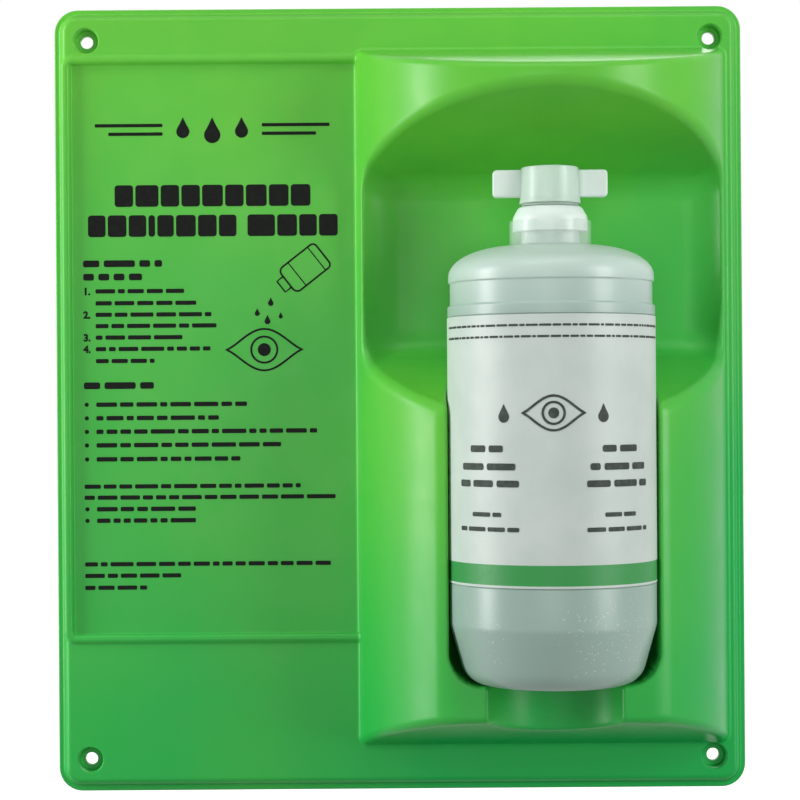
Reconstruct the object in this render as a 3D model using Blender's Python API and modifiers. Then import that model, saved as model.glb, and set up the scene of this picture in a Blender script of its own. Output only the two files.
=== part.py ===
"""Wall-mounted eyewash station: a formed plastic panel that holds one sealed saline bottle.

Units are metres. +Z is up, the wall is the plane y = 0 and the front faces -Y.
The origin is the middle of the four screw holes, on the wall.
A depth is a distance in front of the wall, so a point at depth d has y = -d.
A height on the bottle is measured up from its base.
"""
import math

import bmesh
import bpy
from mathutils import Matrix, Vector

OBJECT_NAME = "eyewash_station"

# Gap between pieces that touch
FIT_GAP = 0.0003

# Bottle, from the base up
BOTTLE_RADIUS = 0.0436
BOTTLE_WALL = 0.0009
BASE_PUSH_UP = 0.0020
BASE_RING_WIDTH = 0.0060
HEEL_CORNER = 0.0095
HEEL_KNEE = 0.0084
HEEL_TAPER = 0.0047
HEEL_TOP = 0.0240
LABEL_BOTTOM = 0.0430
LABEL_HEIGHT = 0.1110
LABEL_FILM = 0.0003
LABEL_STEP = 0.0004
PLAIN_BAND_HEIGHT = 0.0034
GROOVE_HEIGHT = 0.0099
GROOVE_DEPTH = 0.0011
GROOVE_EDGE = 0.0006
BUMPER_HEIGHT = 0.0040
BUMPER_INSET = 0.0004
SHOULDER_RISE = 0.0127
FILL_BELOW_SHOULDER = 0.0030

# Neck, closure and twist-off top
NECK_RADIUS = 0.0122
NECK_WALL = 0.0018
NECK_HEIGHT = 0.0130
BAND_WALL = 0.0008
BAND_HEIGHT = 0.0104
BAND_LIP = 0.0012
CAP_SIDE_WALL = 0.0032
CAP_SKIRT_LENGTH = 0.0074
CAP_TOP_WALL = 0.0034
CAP_DOME_DROP = 0.0053
OUTLET_RADIUS = 0.0102
WEB_THICKNESS = 0.0006
WEB_WIDTH = 0.0018
TOP_RADIUS = 0.0130
TOP_TAPER = 0.0009
TOP_WALL = 0.0016
TOP_FLOOR = 0.0024
TOP_HEIGHT = 0.0154
WING_SPAN = 0.0484
WING_HEIGHT = 0.0116
WING_THICKNESS = 0.0044
WING_RAISE = 0.0028
WING_CORNER = 0.0018
WING_ROOT = 0.0008

# Panel sheet, flange and skirt
SHEET = 0.0025
FLANGE_WIDTH = 0.0024
SKIRT_RUN = 0.0020
PLATEAU_DEPTH = 0.0075
CORNER_RADIUS = 0.0105
TOP_MARGIN = 0.0197
BOTTOM_MARGIN = 0.0205
LEFT_MARGIN = 0.0053
RIGHT_MARGIN = 0.0084

# Sign field and its bead
SIGN_WIDTH = 0.1287
SIGN_STEP = 0.0015
SIGN_TOP_DROP = 0.0229
SIGN_BOTTOM_RISE = 0.0679
SIGN_CORNER = 0.0038
BEAD_RADIUS = 0.0022
BEAD_SINK = 0.0009

# Column, niche, bottle pocket and finger channel
POCKET_CLEARANCE = 0.0004
COLUMN_FLANK = 0.0371
COLUMN_COVER = 0.0231
COLUMN_TOP_SLOPE = math.radians(13.0)
COLUMN_BOTTOM_SLOPE = math.radians(16.7)
COLUMN_FOOT = 0.0322
CROWN_BAND = 0.0079
NICHE_BACK_DEPTH = 0.0080
NICHE_SIDE = 0.0090
NICHE_DRAFT = math.radians(40.0)
NICHE_CORNER = 0.0090
CEILING_SLOPE = math.radians(27.8)
HEAD_ROOM = 0.0212
LEDGE_HEIGHT = 0.1420
LEDGE_SLOPE = math.radians(25.0)
POCKET_BACK_STEP = 0.0007
CHANNEL_RADIUS = 0.0308

# Screw holes in dimples at the four corners
SCREW_INSET = 0.0145
SCREW_HOLE_RADIUS = 0.00275
DIMPLE_RADIUS = 0.0047
DIMPLE_DRAFT = 0.0010

# How far cutters run past what they cut
OVERRUN = 0.0200
ROOT_SINK = 0.0010

# Facets on round shapes
TURN_STEPS = 48
COLUMN_STEPS = 112
CORNER_STEPS = 6

# Heights on the bottle
LABEL_TOP = LABEL_BOTTOM + LABEL_HEIGHT
GROOVE_BOTTOM = LABEL_TOP + PLAIN_BAND_HEIGHT
GROOVE_TOP = GROOVE_BOTTOM + GROOVE_HEIGHT
BUMPER_TOP = GROOVE_TOP + BUMPER_HEIGHT
SHOULDER_TOP = BUMPER_TOP + SHOULDER_RISE
NECK_TOP = SHOULDER_TOP + NECK_HEIGHT
CAP_TOP = NECK_TOP + FIT_GAP + CAP_TOP_WALL
WEB_BOTTOM = CAP_TOP + FIT_GAP
TOP_BOTTOM = WEB_BOTTOM + WEB_THICKNESS + FIT_GAP
BOTTLE_HEIGHT = TOP_BOTTOM + TOP_HEIGHT
LABEL_PANEL_RADIUS = BOTTLE_RADIUS - LABEL_STEP
LABEL_RADIUS = LABEL_PANEL_RADIUS + FIT_GAP + LABEL_FILM
BUMPER_RADIUS = BOTTLE_RADIUS - BUMPER_INSET
GROOVE_RADIUS = BOTTLE_RADIUS - GROOVE_DEPTH
BASE_RADIUS = BOTTLE_RADIUS - HEEL_TAPER - HEEL_CORNER
CAP_INNER_RADIUS = NECK_RADIUS + FIT_GAP
CAP_RADIUS = CAP_INNER_RADIUS + CAP_SIDE_WALL
BAND_INNER_RADIUS = CAP_RADIUS + FIT_GAP + BAND_LIP - BAND_WALL
NECK_FOOT_RADIUS = BAND_INNER_RADIUS + BAND_WALL

# The pocket follows the bottle's widest ring and its heel
POCKET_RADIUS = max(BOTTLE_RADIUS, LABEL_RADIUS) + POCKET_CLEARANCE
POCKET_CORNER = HEEL_TAPER + HEEL_CORNER

# Depths in front of the wall
AXIS_DEPTH = NICHE_BACK_DEPTH + POCKET_BACK_STEP + POCKET_RADIUS
COLUMN_FRONT = AXIS_DEPTH + COLUMN_COVER
REACH = AXIS_DEPTH + BOTTLE_RADIUS + OVERRUN

# Widths across the panel
COLUMN_HALF_WIDTH = POCKET_RADIUS + COLUMN_FLANK
PANEL_WIDTH = LEFT_MARGIN + SIGN_WIDTH + 2 * COLUMN_HALF_WIDTH + RIGHT_MARGIN
SIGN_LEFT = LEFT_MARGIN - PANEL_WIDTH / 2
COLUMN_X = SIGN_LEFT + SIGN_WIDTH + COLUMN_HALF_WIDTH
COLUMN_SAGITTA = COLUMN_FRONT - PLATEAU_DEPTH
COLUMN_RADIUS = (COLUMN_HALF_WIDTH ** 2 + COLUMN_SAGITTA ** 2) / (2 * COLUMN_SAGITTA)
COLUMN_CENTRE_DEPTH = COLUMN_FRONT - COLUMN_RADIUS
NICHE_HALF_WIDTH = COLUMN_HALF_WIDTH - NICHE_SIDE

# Heights up the panel, stacked above the pocket floor
CEILING_OVER_FLOOR = FIT_GAP + BOTTLE_HEIGHT + HEAD_ROOM
ARCH_OVER_FLOOR = CEILING_OVER_FLOOR + COLUMN_COVER * math.tan(CEILING_SLOPE)
CREASE_OVER_FLOOR = ARCH_OVER_FLOOR + CROWN_BAND + COLUMN_SAGITTA * math.tan(COLUMN_TOP_SLOPE)
PANEL_HEIGHT = BOTTOM_MARGIN + COLUMN_FOOT + CREASE_OVER_FLOOR + TOP_MARGIN
FLOOR_Z = BOTTOM_MARGIN + COLUMN_FOOT - PANEL_HEIGHT / 2
COLUMN_TOP_Z = FLOOR_Z + CREASE_OVER_FLOOR
COLUMN_BOTTOM_Z = FLOOR_Z - COLUMN_FOOT
CEILING_AXIS_Z = FLOOR_Z + CEILING_OVER_FLOOR
LEDGE_BACK_Z = FLOOR_Z + LEDGE_HEIGHT
SIGN_TOP_Z = PANEL_HEIGHT / 2 - SIGN_TOP_DROP
SIGN_BOTTOM_Z = SIGN_BOTTOM_RISE - PANEL_HEIGHT / 2
SCREW_X = PANEL_WIDTH / 2 - SCREW_INSET
SCREW_Z = PANEL_HEIGHT / 2 - SCREW_INSET


def clear_scene():
    """Start from an empty scene."""
    for item in list(bpy.data.objects):
        bpy.data.objects.remove(item, do_unlink=True)


def make_collection(name):
    """A collection linked to the scene."""
    group = bpy.data.collections.new(name)
    bpy.context.scene.collection.children.link(group)
    return group


clear_scene()
PARTS = make_collection(OBJECT_NAME)
CUTTERS = make_collection(OBJECT_NAME + "_cutters")


def material(name, colour, roughness, transmission=0.0):
    """A Principled material with one colour."""
    item = bpy.data.materials.new(name)
    item.use_nodes = True
    shader = item.node_tree.nodes["Principled BSDF"]
    shader.inputs["Base Color"].default_value = (*colour, 1.0)
    shader.inputs["Roughness"].default_value = roughness
    shader.inputs["Metallic"].default_value = 0.0
    shader.inputs["Transmission Weight"].default_value = transmission
    item.diffuse_color = (*colour, 1.0)
    return item


def add_object(name, mesh, group):
    """Link a mesh as an object; cutters stay out of the finished model."""
    item = bpy.data.objects.new(name, mesh)
    group.objects.link(item)
    if group == CUTTERS:
        item.hide_render = True
        item.display_type = "WIRE"
    return item


def finish_mesh(name, bm, group):
    """Close a bmesh into an object with outward faces."""
    bmesh.ops.recalc_face_normals(bm, faces=bm.faces)
    mesh = bpy.data.meshes.new(name)
    bm.to_mesh(mesh)
    bm.free()
    return add_object(name, mesh, group)


def boolean(item, tool, operation):
    """Cut, join or intersect an object with a tool object."""
    step = item.modifiers.new(tool.name, "BOOLEAN")
    step.operation = operation
    step.object = tool
    step.solver = "EXACT"
    return item


def prism(name, outline, sweep, group):
    """A flat outline of points, extruded along a vector."""
    bm = bmesh.new()
    face = bm.faces.new([bm.verts.new(point) for point in outline])
    swept = bmesh.ops.extrude_face_region(bm, geom=[face])
    far_end = [item for item in swept["geom"] if isinstance(item, bmesh.types.BMVert)]
    bmesh.ops.translate(bm, verts=far_end, vec=sweep)
    return finish_mesh(name, bm, group)


def stacked_rings(name, rings, group):
    """A loft through rings that have the same number of points, with both ends closed."""
    bm = bmesh.new()
    loops = [[bm.verts.new(point) for point in ring] for ring in rings]
    for lower, upper in zip(loops, loops[1:]):
        for i in range(len(lower)):
            j = (i + 1) % len(lower)
            bm.faces.new((lower[i], lower[j], upper[j], upper[i]))
    bm.faces.new(loops[0])
    bm.faces.new(loops[-1])
    return finish_mesh(name, bm, group)


def add_cone(bm, radius_low, radius_high, low, high, steps, turn):
    """A closed cone frustum between two points on the turned Z axis."""
    middle = Matrix.Translation((low + high) / 2)
    bmesh.ops.create_cone(bm, cap_ends=True, segments=steps, radius1=radius_low, radius2=radius_high,
                          depth=(high - low).length, matrix=middle @ turn)


def upright_cylinder(name, radius, centre_depth, low_z, high_z, steps, group):
    """A vertical cylinder on the column's middle line."""
    bm = bmesh.new()
    low = Vector((COLUMN_X, -centre_depth, low_z))
    high = Vector((COLUMN_X, -centre_depth, high_z))
    add_cone(bm, radius, radius, low, high, steps, Matrix.Identity(4))
    return finish_mesh(name, bm, group)


def arc(centre_u, centre_v, radius, start, end, steps):
    """Points along a circular arc in a plane, angles in degrees."""
    points = []
    for i in range(steps + 1):
        angle = math.radians(start + (end - start) * i / steps)
        points.append((centre_u + radius * math.cos(angle), centre_v + radius * math.sin(angle)))
    return points


def rounded_rectangle(left, right, bottom, top, radius):
    """Outline of a rectangle with round corners, anticlockwise."""
    r = radius
    return (arc(right - r, top - r, r, 0, 90, CORNER_STEPS)
            + arc(left + r, top - r, r, 90, 180, CORNER_STEPS)
            + arc(left + r, bottom + r, r, 180, 270, CORNER_STEPS)
            + arc(right - r, bottom + r, r, 270, 360, CORNER_STEPS))


def panel_ring(inset, depth):
    """The panel's outline, drawn in by an inset, at a depth."""
    radius = max(CORNER_RADIUS - inset, FIT_GAP)
    half_width = PANEL_WIDTH / 2 - inset
    half_height = PANEL_HEIGHT / 2 - inset
    outline = rounded_rectangle(-half_width, half_width, -half_height, half_height, radius)
    return [Vector((x, -depth, z)) for x, z in outline]


def side_prism(name, outline, half_width):
    """A side outline of (depth, z) points, as wide as the half width each way from the column's middle."""
    points = [Vector((COLUMN_X - half_width, -depth, z)) for depth, z in outline]
    return prism(name, points, Vector((2 * half_width, 0, 0)), CUTTERS)


def plan_prism(name, outline, low_z, high_z):
    """A plan outline of (x from the column's middle, depth) points between two levels."""
    points = [Vector((COLUMN_X + x, -depth, low_z)) for x, depth in outline]
    return prism(name, points, Vector((0, 0, high_z - low_z)), CUTTERS)


def front_prism(name, outline, near_depth, far_depth):
    """A front outline of (x, z) points between two depths."""
    points = [Vector((x, -near_depth, z)) for x, z in outline]
    return prism(name, points, Vector((0, near_depth - far_depth, 0)), CUTTERS)


def front_tray(name, group):
    """Flange, drafted skirt and flat plateau as one solid block."""
    rings = [panel_ring(0, 0), panel_ring(0, SHEET), panel_ring(FLANGE_WIDTH, SHEET),
             panel_ring(FLANGE_WIDTH + SKIRT_RUN, PLATEAU_DEPTH)]
    return stacked_rings(name, rings, group)


def rear_tray(name):
    """The hollow behind the skirt and plateau, one sheet inside the front."""
    rings = [panel_ring(FLANGE_WIDTH + SHEET, -OVERRUN),
             panel_ring(FLANGE_WIDTH + SHEET, 0),
             panel_ring(FLANGE_WIDTH + SKIRT_RUN + SHEET, PLATEAU_DEPTH - SHEET)]
    return stacked_rings(name, rings, CUTTERS)


def sign_recess(name, skin):
    """The sunken sign field, which runs in under the column."""
    outline = rounded_rectangle(SIGN_LEFT - skin, COLUMN_X, SIGN_BOTTOM_Z - skin, SIGN_TOP_Z + skin,
                                SIGN_CORNER + skin)
    floor_depth = PLATEAU_DEPTH - SIGN_STEP - skin
    return front_prism(name, outline, floor_depth, PLATEAU_DEPTH + OVERRUN)


def column(name, skin, root_depth):
    """The bowed column with its sloping top and bottom faces."""
    def top(depth):
        return (COLUMN_TOP_Z - (depth - PLATEAU_DEPTH) * math.tan(COLUMN_TOP_SLOPE)
                - skin / math.cos(COLUMN_TOP_SLOPE))

    def bottom(depth):
        return (COLUMN_BOTTOM_Z + (depth - PLATEAU_DEPTH) * math.tan(COLUMN_BOTTOM_SLOPE)
                + skin / math.cos(COLUMN_BOTTOM_SLOPE))

    side = [(root_depth, bottom(root_depth)), (REACH, bottom(REACH)),
            (REACH, top(REACH)), (root_depth, top(root_depth))]
    limit = side_prism(name + "_limit", side, COLUMN_HALF_WIDTH + OVERRUN)
    body = upright_cylinder(name, COLUMN_RADIUS - skin, COLUMN_CENTRE_DEPTH, COLUMN_BOTTOM_Z - OVERRUN,
                            COLUMN_TOP_Z + OVERRUN, COLUMN_STEPS, CUTTERS)
    return boolean(body, limit, "INTERSECT")


def niche(name, skin):
    """The scoop across the column: upright back wall, rising ceiling and falling ledge."""
    back = NICHE_BACK_DEPTH - skin
    ceiling_back_z = CEILING_AXIS_Z - (AXIS_DEPTH - NICHE_BACK_DEPTH) * math.tan(CEILING_SLOPE)

    def ceiling(depth):
        return (ceiling_back_z + (depth - NICHE_BACK_DEPTH) * math.tan(CEILING_SLOPE)
                + skin / math.cos(CEILING_SLOPE))

    def ledge(depth):
        return (LEDGE_BACK_Z - (depth - NICHE_BACK_DEPTH) * math.tan(LEDGE_SLOPE)
                - skin / math.cos(LEDGE_SLOPE))

    def half_width(depth):
        return (NICHE_HALF_WIDTH + (depth - NICHE_BACK_DEPTH) * math.tan(NICHE_DRAFT)
                + skin / math.cos(NICHE_DRAFT))

    side = [(back, ledge(back)), (REACH, ledge(REACH)), (REACH, ceiling(REACH)), (back, ceiling(back))]
    body = side_prism(name, side, half_width(REACH) + OVERRUN)
    radius = NICHE_CORNER + skin
    setback = radius * math.tan((math.pi / 2 - NICHE_DRAFT) / 2)
    corner_x = half_width(back) - setback
    turn = 90 - math.degrees(NICHE_DRAFT)
    right = arc(corner_x, back + radius, radius, -90, -90 + turn, CORNER_STEPS)
    left = [(-x, depth) for x, depth in reversed(right)]
    plan = left + right + [(half_width(REACH), REACH), (-half_width(REACH), REACH)]
    limit = plan_prism(name + "_limit", plan, FLOOR_Z, COLUMN_TOP_Z + OVERRUN)
    return boolean(body, limit, "INTERSECT")


def pocket(name, skin):
    """The bottle's U-shaped pocket, open to the front, with round lower corners."""
    radius = POCKET_RADIUS + skin
    floor_z = FLOOR_Z - skin
    top_z = LEDGE_BACK_Z + OVERRUN / 2
    rear = arc(0, AXIS_DEPTH, radius, 180, 360, TURN_STEPS)
    plan = rear + [(radius, REACH), (-radius, REACH)]
    body = plan_prism(name, plan, floor_z - OVERRUN, top_z)
    corner = POCKET_CORNER + skin
    side = radius + OVERRUN
    low = (arc(COLUMN_X - radius + corner, floor_z + corner, corner, 180, 270, CORNER_STEPS)
           + arc(COLUMN_X + radius - corner, floor_z + corner, corner, 270, 360, CORNER_STEPS))
    high = [(COLUMN_X + radius, floor_z + 2 * corner), (COLUMN_X + side, floor_z + 2 * corner),
            (COLUMN_X + side, top_z + OVERRUN), (COLUMN_X - side, top_z + OVERRUN),
            (COLUMN_X - side, floor_z + 2 * corner), (COLUMN_X - radius, floor_z + 2 * corner)]
    limit = front_prism(name + "_limit", low + high, -OVERRUN, REACH + OVERRUN)
    return boolean(body, limit, "INTERSECT")


def finger_channel(name, skin):
    """The half-round upright channel below the bottle."""
    return upright_cylinder(name, CHANNEL_RADIUS + skin, COLUMN_FRONT, COLUMN_BOTTOM_Z - OVERRUN,
                            FLOOR_Z + POCKET_CORNER / 2, TURN_STEPS, CUTTERS)


def corner_cones(name, radius_low, radius_high, low_depth, high_depth):
    """Four cones along the depth axis, one at each screw hole."""
    bm = bmesh.new()
    facing = Matrix.Rotation(math.pi / 2, 4, "X")
    for x in (-SCREW_X, SCREW_X):
        for z in (-SCREW_Z, SCREW_Z):
            low = Vector((x, -low_depth, z))
            high = Vector((x, -high_depth, z))
            add_cone(bm, radius_low, radius_high, low, high, TURN_STEPS // 2, facing)
    return finish_mesh(name, bm, CUTTERS)


def dimples(name, skin):
    """Tapered screw dimples; their floors lie on the wall."""
    slope = DIMPLE_DRAFT / (PLATEAU_DEPTH - SHEET)
    low_depth = SHEET if skin == 0 else -OVERRUN
    high_depth = PLATEAU_DEPTH + OVERRUN / 2

    def radius(depth):
        return DIMPLE_RADIUS + skin + (depth - SHEET) * slope

    return corner_cones(name, radius(low_depth), radius(high_depth), low_depth, high_depth)


def sign_bead():
    """The half-round bead along the sign field's top, left and bottom."""
    start_x = COLUMN_X - COLUMN_HALF_WIDTH + CHANNEL_RADIUS
    r = SIGN_CORNER
    route = ([(start_x, SIGN_TOP_Z)]
             + arc(SIGN_LEFT + r, SIGN_TOP_Z - r, r, 90, 180, CORNER_STEPS)
             + arc(SIGN_LEFT + r, SIGN_BOTTOM_Z + r, r, 180, 270, CORNER_STEPS)
             + [(start_x, SIGN_BOTTOM_Z)])
    path = bpy.data.curves.new("sign_bead_path", "CURVE")
    path.dimensions = "3D"
    path.bevel_depth = BEAD_RADIUS
    path.bevel_resolution = 3
    path.use_fill_caps = True
    spline = path.splines.new("POLY")
    spline.points.add(len(route) - 1)
    for point, (x, z) in zip(spline.points, route):
        point.co = (x, BEAD_SINK - PLATEAU_DEPTH, z, 1.0)
    tube = bpy.data.objects.new("sign_bead_path", path)
    CUTTERS.objects.link(tube)
    mesh = bpy.data.meshes.new_from_object(tube.evaluated_get(bpy.context.evaluated_depsgraph_get()))
    bpy.data.objects.remove(tube, do_unlink=True)
    bm = bmesh.new()
    bm.from_mesh(mesh)
    bmesh.ops.remove_doubles(bm, verts=bm.verts, dist=FIT_GAP / 10)
    return finish_mesh("sign_bead", bm, CUTTERS)


def form(block, prefix, skin, root_depth):
    """Shape a block with the panel's features, drawn in from the front by the skin."""
    boolean(block, sign_recess(prefix + "_sign", skin), "DIFFERENCE")
    boolean(block, column(prefix + "_column", skin, root_depth), "UNION")
    boolean(block, niche(prefix + "_niche", skin), "DIFFERENCE")
    boolean(block, pocket(prefix + "_pocket", skin), "DIFFERENCE")
    boolean(block, finger_channel(prefix + "_channel", skin), "DIFFERENCE")
    boolean(block, dimples(prefix + "_dimples", skin), "DIFFERENCE")
    return block


def wall_panel():
    """The formed sheet: the front block less the same block one sheet further back."""
    panel = front_tray("wall_panel", PARTS)
    form(panel, "front", 0, ROOT_SINK)
    boolean(panel, sign_bead(), "UNION")
    hollow = form(rear_tray("rear_hollow"), "rear", SHEET, -OVERRUN / 2)
    boolean(panel, hollow, "DIFFERENCE")
    holes = corner_cones("screw_holes", SCREW_HOLE_RADIUS, SCREW_HOLE_RADIUS, -OVERRUN, OVERRUN)
    boolean(panel, holes, "DIFFERENCE")
    panel.data.materials.append(material("green_plastic", (0.06, 0.42, 0.07), 0.32))
    return panel


def turned(name, profile, parent, surface, closed=False):
    """A turned piece: a profile of (radius, height) points, swept round the bottle's axis."""
    mesh = bpy.data.meshes.new(name)
    points = [(radius, 0.0, height) for radius, height in profile]
    edges = [(i, i + 1) for i in range(len(points) - 1)]
    if closed:
        edges.append((len(points) - 1, 0))
    mesh.from_pydata(points, edges, [])
    item = add_object(name, mesh, PARTS)
    screw = item.modifiers.new("turn", "SCREW")
    screw.steps = TURN_STEPS
    screw.render_steps = TURN_STEPS
    screw.use_merge_vertices = True
    screw.merge_threshold = FIT_GAP / 10
    screw.use_smooth_shade = True
    item.parent = parent
    item.data.materials.append(surface)
    return item


def heel_curve(inset):
    """Down the heel: a tapered side, then a round corner to the base ring."""
    knee = BASE_RADIUS - inset
    quarter = arc(0, 0, 1, 0, 90, CORNER_STEPS)
    corner = [(knee + HEEL_CORNER * u, HEEL_KNEE - (HEEL_KNEE - inset) * v) for u, v in quarter]
    return [(BOTTLE_RADIUS - inset, HEEL_TOP)] + corner


def shoulder_curve(radius, foot_radius, low, high):
    """Down the shoulder's elliptical curve, from the neck to the side."""
    quarter = arc(0, 0, 1, 90, 0, CORNER_STEPS)
    return [(foot_radius + (radius - foot_radius) * u, low + (high - low) * v) for u, v in quarter]


def base_curve(inset):
    """In along the base ring and up to the middle of the push-up."""
    outer = BASE_RADIUS - inset
    return [(outer - BASE_RING_WIDTH, inset), (outer - 2 * BASE_RING_WIDTH, inset + BASE_PUSH_UP / 2),
            (0.0, inset + BASE_PUSH_UP)]


def inside_curve(inset):
    """The bottle's inside, drawn in by an inset, from the shoulder's foot down to the axis."""
    shoulder = shoulder_curve(GROOVE_RADIUS - inset, NECK_RADIUS - NECK_WALL, BUMPER_TOP - inset,
                              SHOULDER_TOP - inset)
    side = [(GROOVE_RADIUS - inset, GROOVE_BOTTOM), (LABEL_PANEL_RADIUS - inset, LABEL_TOP),
            (LABEL_PANEL_RADIUS - inset, LABEL_BOTTOM)]
    return shoulder + side + heel_curve(inset) + base_curve(inset)


def bottle_body(parent):
    """Blow-moulded bottle: inside from the base up, then outside from the neck down."""
    neck_inside = [(NECK_RADIUS - NECK_WALL, NECK_TOP)]
    inside = list(reversed(inside_curve(BOTTLE_WALL))) + neck_inside
    edge = GROOVE_EDGE
    outside = [(NECK_RADIUS, NECK_TOP), (NECK_RADIUS, SHOULDER_TOP)]
    outside += shoulder_curve(BUMPER_RADIUS, NECK_FOOT_RADIUS, BUMPER_TOP, SHOULDER_TOP)
    outside += [(BUMPER_RADIUS, GROOVE_TOP), (GROOVE_RADIUS, GROOVE_TOP - edge),
                (GROOVE_RADIUS, GROOVE_BOTTOM + edge), (BOTTLE_RADIUS, GROOVE_BOTTOM),
                (BOTTLE_RADIUS, LABEL_TOP + FIT_GAP + edge), (LABEL_PANEL_RADIUS, LABEL_TOP + FIT_GAP),
                (LABEL_PANEL_RADIUS, LABEL_BOTTOM - FIT_GAP),
                (BOTTLE_RADIUS, LABEL_BOTTOM - FIT_GAP - edge)]
    outside += heel_curve(0.0) + base_curve(0.0)
    surface = material("bottle_plastic", (0.78, 0.86, 0.82), 0.25, 0.5)
    return turned("bottle_body", inside + outside, parent, surface)


def saline_fill(parent):
    """The liquid, one fit gap inside the bottle, up to its level below the shoulder."""
    level = BUMPER_TOP - FILL_BELOW_SHOULDER
    inside = inside_curve(BOTTLE_WALL + FIT_GAP)
    below = [(radius, height) for radius, height in inside if height < level]
    surface = material("saline", (0.80, 0.90, 0.88), 0.05, 0.9)
    return turned("saline_fill", [(0.0, level), (below[0][0], level)] + below, parent, surface)


def bottle_label(parent):
    """The film sleeve in its shallow step on the bottle."""
    outer = LABEL_RADIUS
    inner = outer - LABEL_FILM
    ring = [(inner, LABEL_TOP), (outer, LABEL_TOP), (outer, LABEL_BOTTOM), (inner, LABEL_BOTTOM)]
    return turned("bottle_label", ring, parent, material("label_film", (0.80, 0.86, 0.80), 0.4), True)


def tamper_band(parent):
    """The clear ring that stands on the shoulder, its lip turned in to the closure."""
    low = SHOULDER_TOP + FIT_GAP
    high = low + BAND_HEIGHT
    inner = BAND_INNER_RADIUS
    outer = inner + BAND_WALL
    lip = CAP_RADIUS + FIT_GAP
    ring = [(lip, high), (outer - BAND_WALL / 2, high), (outer, high - BAND_WALL), (outer, low),
            (inner, low), (inner, high - 2 * BAND_WALL), (lip, high - BAND_WALL)]
    surface = material("clear_film", (0.85, 0.92, 0.88), 0.1, 0.9)
    return turned("tamper_band", ring, parent, surface, True)


def closure_cap(parent):
    """The domed cap over the neck, with the outlet that the twist-off top closes."""
    skirt_low = NECK_TOP + FIT_GAP - CAP_SKIRT_LENGTH
    dome = [(TOP_RADIUS + (CAP_RADIUS - TOP_RADIUS) * u, CAP_TOP - CAP_DOME_DROP * (1 - v))
            for u, v in arc(0, 0, 1, 90, 0, CORNER_STEPS)]
    ring = [(OUTLET_RADIUS, CAP_TOP)] + dome
    ring += [(CAP_RADIUS, skirt_low), (CAP_INNER_RADIUS, skirt_low), (CAP_INNER_RADIUS, NECK_TOP + FIT_GAP),
             (OUTLET_RADIUS, NECK_TOP + FIT_GAP)]
    surface = material("closure_plastic", (0.80, 0.88, 0.84), 0.35, 0.4)
    return turned("closure_cap", ring, parent, surface, True)


def tear_web(parent):
    """The thin ring that breaks when the top is twisted."""
    outer = OUTLET_RADIUS + WEB_WIDTH
    high = WEB_BOTTOM + WEB_THICKNESS
    ring = [(OUTLET_RADIUS, high), (outer, high), (outer, WEB_BOTTOM), (OUTLET_RADIUS, WEB_BOTTOM)]
    return turned("tear_web", ring, parent, material("web_plastic", (0.80, 0.88, 0.84), 0.35), True)


def wing_pair():
    """Both wings of the twist-off top, mirrored across its axis."""
    root = TOP_RADIUS - WING_ROOT
    low = TOP_BOTTOM + WING_RAISE
    outline = rounded_rectangle(root, WING_SPAN / 2, low, low + WING_HEIGHT, WING_CORNER)
    points = [Vector((x, -WING_THICKNESS / 2, z)) for x, z in outline]
    wings = prism("wing_pair", points, Vector((0, WING_THICKNESS, 0)), CUTTERS)
    mirror = wings.modifiers.new("mirror", "MIRROR")
    mirror.use_axis = (True, False, False)
    mirror.use_mirror_merge = False
    return wings


def twist_off_top(parent):
    """The cup that is twisted off by its wings."""
    high = BOTTLE_HEIGHT
    rim = TOP_RADIUS - TOP_TAPER
    cup = [(0.0, TOP_BOTTOM + TOP_FLOOR), (rim - TOP_WALL, TOP_BOTTOM + TOP_FLOOR), (rim - TOP_WALL, high),
           (rim, high), (TOP_RADIUS, TOP_BOTTOM), (0.0, TOP_BOTTOM)]
    top = turned("twist_off_top", cup, parent, material("top_plastic", (0.80, 0.88, 0.84), 0.35, 0.4))
    wings = wing_pair()
    wings.parent = parent
    return boolean(top, wings, "UNION")


def bottle_seat():
    """The bottle's axis: an empty on the pocket floor that carries every bottle piece."""
    seat = bpy.data.objects.new("bottle_seat", None)
    PARTS.objects.link(seat)
    seat.location = (COLUMN_X, -AXIS_DEPTH, FLOOR_Z + FIT_GAP)
    return seat


wall_panel()
SEAT = bottle_seat()
for build in (bottle_body, saline_fill, bottle_label, tamper_band, closure_cap, tear_web, twist_off_top):
    build(SEAT)
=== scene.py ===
"""Looks of the wall-mounted eyewash station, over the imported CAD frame.

Shape code works in millimetres, with a depth measured forward from the wall, so y = -depth / 1000.
Heights on the bottle are measured up from its base.
"""
import math
import random

import bmesh
import bpy
import numpy as np
from mathutils import Matrix, Vector


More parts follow.
